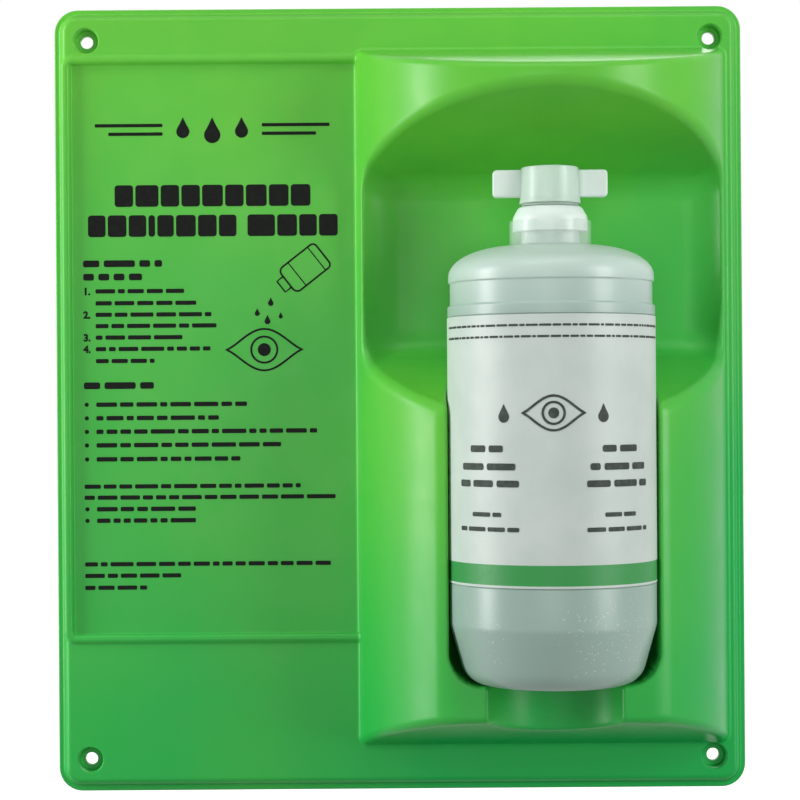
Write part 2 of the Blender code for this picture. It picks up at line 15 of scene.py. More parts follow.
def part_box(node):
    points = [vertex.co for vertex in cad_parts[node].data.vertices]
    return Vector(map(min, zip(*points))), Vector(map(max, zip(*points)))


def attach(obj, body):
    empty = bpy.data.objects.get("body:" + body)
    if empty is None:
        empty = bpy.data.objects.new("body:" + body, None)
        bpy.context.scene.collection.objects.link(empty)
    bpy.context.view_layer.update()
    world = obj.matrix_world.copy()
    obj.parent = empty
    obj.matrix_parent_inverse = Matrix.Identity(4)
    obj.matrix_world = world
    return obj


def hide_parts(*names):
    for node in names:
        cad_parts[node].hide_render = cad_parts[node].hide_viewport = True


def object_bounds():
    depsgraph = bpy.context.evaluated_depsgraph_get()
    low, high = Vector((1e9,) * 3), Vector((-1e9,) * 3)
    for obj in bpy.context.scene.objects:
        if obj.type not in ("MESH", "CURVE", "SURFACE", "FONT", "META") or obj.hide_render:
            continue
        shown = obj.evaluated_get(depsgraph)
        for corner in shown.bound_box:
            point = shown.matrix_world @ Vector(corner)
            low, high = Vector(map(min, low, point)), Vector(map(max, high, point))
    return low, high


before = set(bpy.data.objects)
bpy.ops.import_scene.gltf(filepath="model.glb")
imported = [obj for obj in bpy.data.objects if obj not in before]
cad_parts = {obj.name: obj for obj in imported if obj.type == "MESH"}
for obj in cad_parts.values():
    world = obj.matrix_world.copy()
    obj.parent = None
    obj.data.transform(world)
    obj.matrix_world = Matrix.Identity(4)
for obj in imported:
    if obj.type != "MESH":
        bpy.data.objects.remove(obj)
CAD_LOW, CAD_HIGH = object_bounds()
MM = 0.001

PANEL_LOW, PANEL_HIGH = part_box("wall_panel")
BODY_LOW, BODY_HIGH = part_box("bottle_body")
HALF_W = (PANEL_HIGH[0] - PANEL_LOW[0]) / MM / 2
HALF_H = (PANEL_HIGH[2] - PANEL_LOW[2]) / MM / 2
AXIS_X = (BODY_LOW[0] + BODY_HIGH[0]) / MM / 2
AXIS_D = -(BODY_LOW[1] + BODY_HIGH[1]) / MM / 2
BASE_Z = BODY_LOW[2] / MM

# Panel sizes, as in the CAD
SHEET = 2.5
FLANGE = 2.4
SKIRT = 2.0
PLATEAU = 7.5
CORNER = 10.5
SIGN_FLOOR = 6.0
SIGN_LEFT = -147.2
SIGN_TOP = 150.65
SIGN_BOTTOM = -105.65
SIGN_CORNER = 3.8
BEAD_R = 2.2
BEAD_D = PLATEAU - 0.9
COL_HALF = 81.3
COL_FRONT = 76.0
COL_R = 82.496
COL_CENTRE = COL_FRONT - COL_R
COL_TOP = 153.85
COL_BOTTOM = -153.05
TOP_SLOPE = math.radians(13.0)
BOTTOM_SLOPE = math.radians(16.7)
NICHE_BACK = 8.0
NICHE_HALF = 72.3
NICHE_DRAFT = math.radians(40.0)
CEILING_BACK = 94.28
CEILING_SLOPE = math.radians(27.8)
LEDGE_BACK = 21.15
LEDGE_SLOPE = math.radians(25.0)
POCKET_R = 44.2
POCKET_CORNER = 14.2
FLOOR = BASE_Z - 0.3
POCKET_TOP = LEDGE_BACK + 10
CHANNEL_R = 30.8
SCREW_INSET = 14.5
SCREW_X = HALF_W - SCREW_INSET
SCREW_Z = HALF_H - SCREW_INSET
HOLE_R = 2.75
DIMPLE_R = 4.7
DIMPLE_RUN = 1.0

# Facet along the pocket's lips and foot
LIP_HALF = 45.5
LIP_SLOPE = math.radians(6.0)

# Rounding of the formed edges
SKIRT_EDGE = 1.6
RIM_EDGE = 0.7
FIELD_EDGE = 0.3
BEAD_FILLET = 0.5
DIMPLE_EDGE = 0.35
SEAT_EDGE = 0.4
LEDGE_EDGE = 4.5
RIDGE_EDGE = 1.8
ARCH_EDGE = 3.4
POCKET_EDGE = 1.7
CHANNEL_EDGE = 1.3
CROWN_EDGE = 2.8
FOOT_EDGE = 3.5
LIP_EDGE = 2.5
LEAST_EDGE = 0.5
CREASE = 1.6
NICHE_INSIDE = 8.0
NICHE_EDGE_Z = (-10, LEDGE_BACK, LEDGE_BACK + 20, CEILING_BACK - 10, CEILING_BACK + 15)
NICHE_EDGE_R = (LEDGE_EDGE, LEDGE_EDGE, RIDGE_EDGE, RIDGE_EDGE, ARCH_EDGE)
POCKET_EDGE_D = (12, 25)
POCKET_EDGE_R = (LEAST_EDGE, POCKET_EDGE)

# Search for the formed surface
DEPTH_STEP = 1.0
HALVINGS = 18
NORMAL_STEP = 0.02
WALL_TOUCH = 0.01


def join(a, b, r):
    """Union of two distances with a fillet of radius r."""
    return np.maximum(r, np.minimum(a, b)) - np.hypot(np.maximum(r - a, 0), np.maximum(r - b, 0))


def meet(a, b, r):
    """Intersection of two distances with an edge round of radius r."""
    return np.minimum(-r, np.maximum(a, b)) + np.hypot(np.maximum(r + a, 0), np.maximum(r + b, 0))


def cut(a, b, r):
    """Distance a less distance b, with an edge round of radius r."""
    return meet(a, -b, r)


def eased(edge, skin):
    """Radius of an edge on a skin drawn in from the front."""
    return np.maximum(edge - skin, LEAST_EDGE)


def outline(x, z, left, right, low, high, corner):
    """Distance to a rounded rectangle, negative inside."""
    qx = np.abs(x - (left + right) / 2) - (right - left) / 2 + corner
    qz = np.abs(z - (low + high) / 2) - (high - low) / 2 + corner
    return np.hypot(np.maximum(qx, 0), np.maximum(qz, 0)) + np.minimum(np.maximum(qx, qz), 0) - corner


def panel_distance(x, d, z, skin):
    """Signed distance to the formed block, drawn in by the skin from its front."""
    u = x - AXIS_X
    front = skin == 0
    rim = outline(x, z, -HALF_W, HALF_W, -HALF_H, HALF_H, CORNER)
    rise = PLATEAU - SHEET
    slant = math.hypot(rise, SKIRT)
    skirt = ((rim + FLANGE) * rise + (d - SHEET) * SKIRT) / slant + skin
    body = meet(d - PLATEAU + skin, skirt, SKIRT_EDGE if front else LEAST_EDGE)
    if front:
        body = join(body, meet(rim, d - SHEET, RIM_EDGE), RIM_EDGE)
    field = outline(x, z, SIGN_LEFT - skin, AXIS_X, SIGN_BOTTOM - skin, SIGN_TOP + skin, SIGN_CORNER + skin)
    body = cut(body, meet(field, SIGN_FLOOR - skin - d, FIELD_EDGE), FIELD_EDGE)
    if front:
        edge = outline(x, z, SIGN_LEFT, AXIS_X, SIGN_BOTTOM, SIGN_TOP, SIGN_CORNER)
        body = join(body, np.hypot(edge, d - BEAD_D) - BEAD_R, BEAD_FILLET)
    top = (z - COL_TOP + (d - PLATEAU) * math.tan(TOP_SLOPE)) * math.cos(TOP_SLOPE) + skin
    bottom = (COL_BOTTOM + (d - PLATEAU) * math.tan(BOTTOM_SLOPE) - z) * math.cos(BOTTOM_SLOPE) + skin
    column = np.hypot(u, d - COL_CENTRE) - COL_R + skin
    column = meet(meet(column, top, eased(CROWN_EDGE, skin)), bottom, eased(FOOT_EDGE, skin))
    body = join(body, column, CREASE + skin / 2)
    away = d - NICHE_BACK
    ceiling = (z - CEILING_BACK - away * math.tan(CEILING_SLOPE)) * math.cos(CEILING_SLOPE) - skin
    ledge = (LEDGE_BACK - away * math.tan(LEDGE_SLOPE) - z) * math.cos(LEDGE_SLOPE) - skin
    side = (np.abs(u) - NICHE_HALF - away * math.tan(NICHE_DRAFT)) * math.cos(NICHE_DRAFT) - skin
    inside = NICHE_INSIDE + skin
    niche = meet(meet(meet(NICHE_BACK - skin - d, side, inside), ceiling, inside), ledge, inside)
    body = cut(body, niche, eased(np.interp(z, NICHE_EDGE_Z, NICHE_EDGE_R), skin))
    lip_depth = COL_CENTRE + math.sqrt(COL_R ** 2 - LIP_HALF ** 2) - skin
    lip = (lip_depth + (LIP_HALF - np.abs(u)) * math.tan(LIP_SLOPE) - d) * math.cos(LIP_SLOPE)
    body = cut(body, np.maximum(lip, z), eased(LIP_EDGE, skin))
    plan = np.hypot(u, np.maximum(AXIS_D - d, 0)) - POCKET_R - skin
    pocket = np.maximum(meet(plan, FLOOR - skin - z, POCKET_CORNER + skin), z - POCKET_TOP)
    body = cut(body, pocket, eased(np.interp(d, POCKET_EDGE_D, POCKET_EDGE_R), skin))
    channel = np.maximum(np.hypot(u, d - COL_FRONT) - CHANNEL_R - skin, z - FLOOR - POCKET_CORNER / 2)
    body = cut(body, channel, eased(CHANNEL_EDGE, skin))
    dimple_r = DIMPLE_R + skin + (d - SHEET) * DIMPLE_RUN / rise
    dimple = np.hypot(np.abs(x) - SCREW_X, np.abs(z) - SCREW_Z) - dimple_r
    if front:
        dimple = meet(dimple, SHEET - d, SEAT_EDGE)
    return cut(body, dimple, DIMPLE_EDGE)


def panel_depth(x, z, skin):
    """Depth of the formed surface at each (x, z), found by stepping back from the front."""
    low = np.full(x.shape, -DEPTH_STEP)
    found = np.zeros(x.shape, bool)
    for d in np.arange(COL_FRONT + DEPTH_STEP, -DEPTH_STEP, -DEPTH_STEP):
        hit = (panel_distance(x, np.full(x.shape, d), z, skin) < 0) & ~found
        low[hit] = d
        found |= hit
    high = low + DEPTH_STEP
    for _ in range(HALVINGS):
        middle = (low + high) / 2
        solid = panel_distance(x, middle, z, skin) < 0
        low = np.where(solid, middle, low)
        high = np.where(solid, high, middle)
    return np.where(found, np.maximum(low, 0.0), 0.0)


def lines(*runs):
    """Grid lines from (start, end, step) runs, with each run's ends kept."""
    values = set()
    for start, end, step in runs:
        count = max(1, round((end - start) / step))
        values |= {round(start + (end - start) * i / count, 3) for i in range(count + 1)}
    return np.array(sorted(values))


BORDER = 7.5
GRID_W = round(HALF_W - BORDER, 3)
GRID_H = round(HALF_H - BORDER, 3)
ARC_X = round(HALF_W - CORNER, 3)
ARC_Z = round(HALF_H - CORNER, 3)
PATCH_X = 129.0
PATCH_Z = 152.9
ARC_STEPS = 10
LEFT = AXIS_X - COL_HALF
RIGHT = AXIS_X + COL_HALF
POCKET_LEFT = AXIS_X - POCKET_R
POCKET_RIGHT = AXIS_X + POCKET_R


def panel_lines(k):
    """Grid lines across and up the panel, close together where the form turns; k widens the steps."""
    across = lines((-GRID_W, -ARC_X, 0.75 * k), (-ARC_X, -PATCH_X, 1.6 * k), (-PATCH_X, LEFT - 4, 6 * k),
                   (LEFT - 4, LEFT + 6, 0.55 * k), (LEFT + 6, POCKET_LEFT - 4.5, 1.4 * k),
                   (POCKET_LEFT - 4.5, POCKET_LEFT + 1.5, 0.4 * k),
                   (POCKET_LEFT + 1.5, AXIS_X - 34, 1.2 * k), (AXIS_X - 34, AXIS_X - 27, 0.55 * k),
                   (AXIS_X - 27, AXIS_X + 27, 2.2 * k), (AXIS_X + 27, AXIS_X + 34, 0.55 * k),
                   (AXIS_X + 34, POCKET_RIGHT - 1.5, 1.2 * k),
                   (POCKET_RIGHT - 1.5, POCKET_RIGHT + 4.5, 0.4 * k),
                   (POCKET_RIGHT + 4.5, PATCH_X, 1.4 * k), (PATCH_X, RIGHT - 6, 1.4 * k),
                   (RIGHT - 6, ARC_X, 0.55 * k), (ARC_X, GRID_W, 0.55 * k))
    up = lines((-GRID_H, -ARC_Z, 1.0 * k), (-ARC_Z, -PATCH_Z - 1.6, 1.4 * k),
               (-PATCH_Z - 1.6, -PATCH_Z, 0.4 * k), (-PATCH_Z, COL_BOTTOM + 4, 0.6 * k),
               (COL_BOTTOM + 4, FLOOR - 2, 1.1 * k), (FLOOR - 2, SIGN_BOTTOM - 4, 0.6 * k),
               (SIGN_BOTTOM - 4, SIGN_BOTTOM + 4, 0.5 * k), (SIGN_BOTTOM + 4, -14, 4.5 * k),
               (-14, LEDGE_BACK + 4, 0.9 * k), (LEDGE_BACK + 4, 86, 3.5 * k), (86, 146.5, 0.9 * k),
               (146.5, PATCH_Z + 2, 0.45 * k), (PATCH_Z, PATCH_Z + 2, 2.0), (PATCH_Z + 2, ARC_Z, 1.4 * k),
               (ARC_Z, GRID_H, 1.0 * k))
    return across, up


def border_stations(across, up):
    """Stations round the border: a foot (x, z) and an outward direction."""
    row = [v for v in across if abs(v) <= ARC_X]
    rise = [v for v in up if abs(v) <= ARC_Z]
    sides = ([(x, -ARC_Z, 0, -1) for x in row], [(ARC_X, z, 1, 0) for z in rise],
             [(x, ARC_Z, 0, 1) for x in reversed(row)], [(-ARC_X, z, -1, 0) for z in reversed(rise)])
    stations = []
    for number, side in enumerate(sides):
        stations += side
        x, z = side[-1][:2]
        for i in range(1, ARC_STEPS):
            angle = math.radians(90 * (number - 1 + i / ARC_STEPS))
            stations.append((x, z, math.cos(angle), math.sin(angle)))
    return np.array(stations + stations[:1])


def corner_loop(sx, sz, across, up):
    """The boundary of one corner patch, as points in order."""
    row = sorted(abs(v) for v in across if PATCH_X <= v * sx <= GRID_W)
    rise = sorted(abs(v) for v in up if PATCH_Z <= v * sz <= GRID_H)
    loop = [(x, PATCH_Z) for x in row]
    loop += [(GRID_W, z) for z in rise[1:] if z <= ARC_Z]
    reach = CORNER - BORDER
    for i in range(1, ARC_STEPS):
        angle = math.radians(90 * i / ARC_STEPS)
        loop.append((ARC_X + reach * math.cos(angle), ARC_Z + reach * math.sin(angle)))
    loop += [(x, GRID_H) for x in reversed(row) if x <= ARC_X]
    loop += [(PATCH_X, z) for z in reversed(rise[1:-1])]
    return np.array(loop + loop[:1]) * (sx, sz)


# Ring radii round a screw hole: true circles, then rings that open out to the patch's boundary
ROUND_RINGS = (HOLE_R, 2.95, 3.3, 3.8, 4.15, 4.35, 4.55, 4.75, 4.95, 5.15, 5.3)
BLEND_RINGS = (5.45, 5.6, 5.8, 6.0)
BLEND_REACH = 6.6
OUTER_RINGS = 3


class Sheet:
    """Collects patches of the formed sheet, front and back, and its cut edges."""

    def __init__(self):
        self.points = []
        self.faces = []
        self.walls = []
        self.count = 0

    def patch(self, x, z, skin, keep=None):
        """Adds a grid of points, with quads where keep is true; returns the point numbers."""
        depth = panel_depth(x.ravel(), z.ravel(), skin)
        side = np.full(depth.shape, 0.0 if skin == 0 else 1.0)
        self.points.append(np.stack([x.ravel(), depth, z.ravel(), side], 1))
        index = np.arange(x.size).reshape(x.shape) + self.count
        self.count += x.size
        quads = np.stack([index[:-1, :-1], index[1:, :-1], index[1:, 1:], index[:-1, 1:]], -1)
        if keep is not None:
            quads = quads[keep]
        self.faces.append(quads.reshape(-1, 4))
        return index

    def border(self, stations, insets, skin):
        """Rings round the sheet, from its outer edge in to the grid."""
        reach = CORNER - np.array(insets)[:, None]
        x = stations[:, 0] + stations[:, 2] * reach
        z = stations[:, 1] + stations[:, 3] * reach
        return self.patch(x, z, skin)[0]

    def dimple(self, loop, centre, skin):
        """Rings round a screw hole, out to a corner patch's boundary."""
        away = loop - centre
        reach = np.hypot(away[:, 0], away[:, 1])
        rings = [np.full(reach.shape, r) for r in ROUND_RINGS]
        last = rings[-1]
        rings += [last + (np.minimum(reach, BLEND_REACH) - last) * (r - ROUND_RINGS[-1]) for r in BLEND_RINGS]
        last = rings[-1]
        rings += [last + (reach - last) * i / OUTER_RINGS for i in range(1, OUTER_RINGS + 1)]
        share = np.array(rings) / reach
        return self.patch(centre[0] + away[:, 0] * share, centre[1] + away[:, 1] * share, skin)[0]

    def wall(self, front, back, outward):
        """A cut edge between two loops of points, with its own normals."""
        quads = np.stack([front[:-1], front[1:], back[1:], back[:-1]], -1)
        facing = np.stack([outward[:-1], outward[1:], outward[1:], outward[:-1]], 1)
        self.walls.append((quads, facing))

    def mesh(self, name):
        """Welds the patches and gives each corner the formed surface's own normal."""
        points = np.concatenate(self.points)
        faces = np.concatenate(self.faces)
        _, first, back = np.unique(np.round(points, 3), axis=0, return_index=True, return_inverse=True)
        back = back.ravel()
        points = points[first]
        normals = np.zeros((len(points), 3))
        h = NORMAL_STEP
        for side, skin, way in ((0, 0, 1), (1, SHEET, -1)):
            mine = points[:, 3] == side
            x, d, z = points[mine, :3].T
            slope = np.stack([panel_distance(x + h, d, z, skin) - panel_distance(x - h, d, z, skin),
                              panel_distance(x, d - h, z, skin) - panel_distance(x, d + h, z, skin),
                              panel_distance(x, d, z + h, skin) - panel_distance(x, d, z - h, skin)], 1)
            slope *= way
            slope[d < WALL_TOUCH] = (0, 1, 0)
            normals[mine] = slope / np.maximum(np.linalg.norm(slope, axis=1), 1e-9)[:, None]
        faces = back[faces]
        facing = normals[faces]
        for quads, outward in self.walls:
            faces = np.concatenate([faces, back[quads]])
            facing = np.concatenate([facing, outward])
        where = np.stack([points[:, 0], -points[:, 1], points[:, 2]], 1) * MM
        corner = where[faces]
        flat = np.cross(corner[:, 2] - corner[:, 0], corner[:, 3] - corner[:, 1])
        turned = (flat * facing.sum(1)).sum(1) < 0
        faces[turned] = faces[turned][:, ::-1]
        facing[turned] = facing[turned][:, ::-1]
        mesh = bpy.data.meshes.new(name)
        mesh.from_pydata(where.tolist(), [], faces.tolist())
        mesh.polygons.foreach_set("use_smooth", np.ones(len(mesh.polygons), bool))
        mesh.normals_split_custom_set(facing.reshape(-1, 3).tolist())
        return mesh


# Rings of the border, measured in from the sheet's outer edge
FRONT_INSETS = (0, 0.1, 0.25, 0.45, 0.7, 1.2, 1.8, 2.2, 2.5, 2.8, 3.1, 3.4, 3.7, 4.0, 4.3, 4.6, 4.9, 5.3,
                5.8, 6.4, BORDER)
BACK_INSETS = (0, 4.4, 4.9, 5.2, 5.6, 6.0, 6.4, 6.8, BORDER)
BACK_SPREAD = 1.4


def formed_panel():
    """The whole formed sheet: grid, border and four screw dimples, front and back, and the cut edges."""
    sheet = Sheet()
    fine = panel_lines(1.0)
    stations = border_stations(*fine)
    rims = []
    holes = []
    for skin, insets, spread in ((0, FRONT_INSETS, 1.0), (SHEET, BACK_INSETS, BACK_SPREAD)):
        across, up = panel_lines(spread)
        x, z = np.meshgrid(across, up, indexing="ij")
        mid_x = np.abs(across[:-1] + across[1:])[:, None] / 2
        mid_z = np.abs(up[:-1] + up[1:])[None, :] / 2
        sheet.patch(x, z, skin, ~((mid_x > PATCH_X) & (mid_z > PATCH_Z)))
        rims.append(sheet.border(stations, insets, skin))
        for sx in (-1, 1):
            for sz in (-1, 1):
                centre = np.array((sx * SCREW_X, sz * SCREW_Z))
                loop = corner_loop(sx, sz, *fine)
                holes.append((sheet.dimple(loop, centre, skin), centre - loop))
    zero = np.zeros(len(stations))
    sheet.wall(rims[0], rims[1], np.stack([stations[:, 2], zero, stations[:, 3]], 1))
    for (front, inward), (back, _) in zip(holes[:4], holes[4:]):
        inward = inward / np.linalg.norm(inward, axis=1)[:, None]
        sheet.wall(front, back, np.stack([inward[:, 0], np.zeros(len(inward)), inward[:, 1]], 1))
    return sheet.mesh("panel_sheet")


ARC_DEGREES = 11
SEGMENTS = 112
SHARP = math.radians(40)
ON_AXIS = 1e-6


def rounded(points, closed=False):
    """A profile of (radius, height, fillet) corners, with each corner's arc drawn in."""
    result = []
    count = len(points)
    for i, (r, h, fillet) in enumerate(points):
        here = Vector((r, h))
        if fillet == 0 or (not closed and i in (0, count - 1)):
            result.append((r, h))
            continue
        back = (Vector(points[i - 1][:2]) - here).normalized()
        ahead = (Vector(points[(i + 1) % count][:2]) - here).normalized()
        half = back.angle(ahead) / 2
        reach = fillet / math.tan(half)
        centre = here + (back + ahead).normalized() * (fillet / math.sin(half))
        start = here + back * reach - centre
        sweep = (here + ahead * reach - centre).angle_signed(start)
        steps = max(2, round(math.degrees(abs(sweep)) / ARC_DEGREES))
        for k in range(steps + 1):
            a = sweep * k / steps
            result.append((centre.x + start.x * math.cos(a) - start.y * math.sin(a),
                           centre.y + start.x * math.sin(a) + start.y * math.cos(a)))
    return result


def lathe(name, profile, closed=False, segments=SEGMENTS):
    """A turned mesh about the bottle's axis; an open profile starts and ends on the axis."""
    bm = bmesh.new()
    rings = []
    for r, h in profile:
        if r < ON_AXIS:
            rings.append([bm.verts.new((0, 0, h * MM))] * segments)
        else:
            turn = [2 * math.pi * k / segments for k in range(segments)]
            rings.append([bm.verts.new((r * math.cos(a) * MM, r * math.sin(a) * MM, h * MM)) for a in turn])
    pairs = list(zip(rings, rings[1:]))
    if closed:
        pairs.append((rings[-1], rings[0]))
    for low, high in pairs:
        for k in range(segments):
            j = (k + 1) % segments
            corners = list(dict.fromkeys((low[k], low[j], high[j], high[k])))
            bm.faces.new(corners).smooth = True
    bmesh.ops.recalc_face_normals(bm, faces=bm.faces)
    mesh = bpy.data.meshes.new(name)
    bm.to_mesh(mesh)
    bm.free()
    mesh.set_sharp_from_angle(angle=SHARP)
    return mesh


def add_piece(name, mesh, body, surface, node=None, on_bottle=False):
    """Links a mesh as a piece that rides on a CAD body; a bottle piece is drawn about the bottle's base."""
    item = bpy.data.objects.new(name, mesh)
    bpy.context.scene.collection.objects.link(item)
    if on_bottle:
        item.location = (AXIS_X * MM, -AXIS_D * MM, BASE_Z * MM)
    mesh.materials.clear()
    mesh.materials.append(surface)
    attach(item, body)
    if node:
        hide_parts(node)
    return item


def linear(r, g, b):
    """A colour written in display values from 0 to 255, in linear light."""
    def one(v):
        v = v / 255
        return v / 12.92 if v <= 0.04045 else ((v + 0.055) / 1.055) ** 2.4
    return (one(r), one(g), one(b), 1.0)


class Look:
    """A material with short calls for its nodes."""

    def __init__(self, name):
        self.material = bpy.data.materials.new(name)
        self.material.use_nodes = True
        self.tree = self.material.node_tree
        self.shader = self.tree.nodes["Principled BSDF"]

    def node(self, kind, links=None, **values):
        item = self.tree.nodes.new(kind)
        for key, value in values.items():
            setattr(item, key, value)
        for key, value in (links or {}).items():
            self.put(item.inputs[key], value)
        return item

    def put(self, socket, value):
        if isinstance(value, bpy.types.NodeSocket):
            self.tree.links.new(value, socket)
        else:
            socket.default_value = value

    def set(self, **values):
        for key, value in values.items():
            self.put(self.shader.inputs[key.replace("_", " ")], value)

    def place(self):
        return self.node("ShaderNodeTexCoord").outputs["Object"]

    def height(self, place):
        return self.node("ShaderNodeSeparateXYZ", {"Vector": place}).outputs["Z"]

    def noise(self, place, scale, detail=3.0):
        item = self.node("ShaderNodeTexNoise", {"Vector": place, "Scale": scale, "Detail": detail})
        return item.outputs["Fac"]

    def span(self, value, low, high, to_low, to_high):
        item = self.node("ShaderNodeMapRange", {"Value": value, "From Min": low, "From Max": high,
                                                "To Min": to_low, "To Max": to_high})
        return item.outputs["Result"]

    def math(self, operation, a, b):
        return self.node("ShaderNodeMath", {0: a, 1: b}, operation=operation).outputs["Value"]

    def mix(self, factor, a, b):
        item = self.node("ShaderNodeMix", data_type="RGBA")
        for number, value in ((0, factor), (6, a), (7, b)):
            self.put(item.inputs[number], value)
        return item.outputs[2]

    def bump(self, height, strength, distance):
        return self.node("ShaderNodeBump", {"Height": height, "Strength": strength,
                                            "Distance": distance}).outputs["Normal"]


def green_sheet():
    """Formed green sheet, softly patchy and finely pebbled, with painted light: lighter and yellower above,
    at the left and on the column.
    """
    n = Look("green_sheet")
    place = n.place()
    broad = n.noise(place, 6.0, 2.0)
    mottle = n.noise(place, 70.0, 4.0)
    spot = n.node("ShaderNodeSeparateXYZ", {"Vector": place})
    # Painted light: the colour is mixed towards a lighter yellow-green above, at the left and forward on the
    # column, where the lamps fall; the broad noise is the sheet's own uneven tone.
    painted_light_above = n.span(spot.outputs["Z"], -0.13, 0.17, 0.0, 1.0)
    rise = n.math("ADD", n.span(broad, 0.3, 0.7, -0.2, 0.2), painted_light_above)
    tone_and_light_above_left = n.math("ADD", rise, n.span(spot.outputs["X"], 0.0, 0.15, 0.08, -0.3))
    tone_and_painted_light = n.math("ADD", tone_and_light_above_left, n.span(spot.outputs["Y"], -0.06, -0.01, 0.35, 0.0))
    green = n.mix(tone_and_painted_light, linear(2, 167, 72), linear(100, 196, 58))
    patchy = n.mix(n.span(mottle, 0.35, 0.65, 0.0, 0.12), green, linear(20, 172, 60))
    n.set(Base_Color=patchy, Specular_IOR_Level=0.3, Roughness=n.span(mottle, 0.3, 0.7, 0.30, 0.38),
          Normal=n.bump(n.noise(place, 1500.0, 2.0), 0.12, 0.0002))
    return n.material


def bottle_plastic():
    """Milky clear plastic, greyer below the fill line, partly the saline's clearer look and partly painted
    shade of the pocket, with faint flow marks and specks of trapped air.
    """
    n = Look("bottle_plastic")
    place = n.place()
    flow = n.noise(place, 22.0, 1.0)
    # Painted shade: the plastic turns greyer below the pocket's rim and the fill line, partly for the
    # saline's clearer look and partly for the shade of the pocket round the bottle.
    filled_and_shaded = n.span(n.height(place), 0.150, 0.172, 1.0, 0.0)
    shade = n.mix(filled_and_shaded, linear(222, 242, 232), linear(168, 196, 184))
    soft = n.mix(n.span(flow, 0.2, 0.8, 0.0, 0.35), shade, linear(200, 222, 212))
    cell = n.node("ShaderNodeTexVoronoi", {"Vector": place, "Scale": 560.0}).outputs["Distance"]
    cluster = n.span(n.noise(place, 26.0, 2.0), 0.5, 0.6, 0.0, 0.8)
    low = n.math("MULTIPLY", cluster, n.span(n.height(place), 0.03, 0.045, 1.0, 0.0))
    speck = n.math("MULTIPLY", n.span(cell, 0.12, 0.22, 1.0, 0.0), low)
    n.set(Base_Color=n.mix(speck, soft, linear(244, 250, 247)), Transmission_Weight=0.3, IOR=1.5,
          Roughness=n.span(flow, 0.2, 0.8, 0.29, 0.36), Normal=n.bump(flow, 0.05, 0.002))
    return n.material


def saline_liquid():
    """Clear liquid that reads faintly milky through the bottle."""
    n = Look("saline_liquid")
    place = n.place()
    cloud = n.noise(place, 16.0, 0.0)
    n.set(Base_Color=n.mix(n.span(cloud, 0.2, 0.8, 0.0, 1.0), linear(216, 232, 224), linear(228, 240, 233)),
          Roughness=n.span(cloud, 0.2, 0.8, 0.1, 0.16), Transmission_Weight=0.75, IOR=1.33)
    return n.material


def label_film():
    """White film with a plain green band along its lower edge and a trace of wrinkling."""
    n = Look("label_film")
    place = n.place()
    grain = n.noise(place, 900.0, 2.0)
    wave = n.noise(place, 60.0, 3.0)
    height = n.height(place)
    white = n.mix(n.span(wave, 0.35, 0.65, 0.0, 1.0), linear(194, 206, 199), linear(202, 213, 206))
    band = n.node("ShaderNodeMath", {0: height, 1: 0.0482, 2: 0.0042}, operation="COMPARE").outputs["Value"]
    n.set(Base_Color=n.mix(band, white, linear(38, 138, 62)), Roughness=n.span(grain, 0.3, 0.7, 0.42, 0.52),
          Normal=n.bump(wave, 0.05, 0.0006))
    return n.material


def clear_film():
    """Thin clear plastic of the tamper band."""
    n = Look("clear_film")
    place = n.place()
    ribs = n.noise(place, 400.0, 2.0)
    n.set(Base_Color=n.mix(n.span(ribs, 0.3, 0.7, 0.0, 1.0), linear(228, 240, 233), linear(240, 248, 243)),
          Roughness=n.span(ribs, 0.3, 0.7, 0.12, 0.2), Alpha=0.22, Normal=n.bump(ribs, 0.04, 0.0004))
    return n.material


def closure_plastic():
    """Natural translucent plastic of the cap, web and twist-off top, clearest in the cup's thin wall."""
    n = Look("closure_plastic")
    place = n.place()
    cloud = n.noise(place, 90.0, 2.0)
    flat = n.node("ShaderNodeVectorMath", {0: place, 1: (1.0, 1.0, 0.0)}, operation="MULTIPLY")
    radius = n.node("ShaderNodeVectorMath", {0: flat.outputs["Vector"]}, operation="LENGTH").outputs["Value"]
    n.set(Base_Color=n.mix(n.span(cloud, 0.2, 0.8, 0.0, 1.0), linear(232, 249, 240), linear(242, 253, 247)),
          Roughness=n.span(cloud, 0.2, 0.8, 0.29, 0.36), IOR=1.4,
          Transmission_Weight=n.span(radius, 0.0122, 0.0140, 0.6, 0.15), Normal=n.bump(cloud, 0.04, 0.001))
    return n.material


def ink(name, colour, worn):
    """Screen-printed ink with slightly uneven cover."""
    n = Look(name)
    place = n.place()
    cover = n.noise(place, 350.0, 4.0)
    n.set(Base_Color=n.mix(n.span(cover, 0.45, 0.75, 0.0, 1.0), colour, worn),
          Roughness=n.span(cover, 0.3, 0.7, 0.5, 0.62), Specular_IOR_Level=0.12,
          Normal=n.bump(cover, 0.05, 0.0002))
    return n.material


# Sizes of the bottle, as in the CAD; TOP_FOOT and TOP_CROWN are the ends of the twist-off top
NECK_TOP = 197.0
LABEL_LOW = 43.0
LABEL_HIGH = 154.0
LABEL_IN = 43.5
LABEL_OUT = 43.8
LEVEL = 168.3
TOP_FOOT = 201.9
TOP_CROWN = 217.3

GREEN = green_sheet()
CLOSURE = closure_plastic()
BLACK = ink("black_ink", linear(8, 10, 8), linear(20, 26, 20))
GREY = ink("label_ink", linear(62, 70, 64), linear(84, 94, 86))

add_piece("panel_sheet", formed_panel(), "panel", GREEN, "wall_panel")

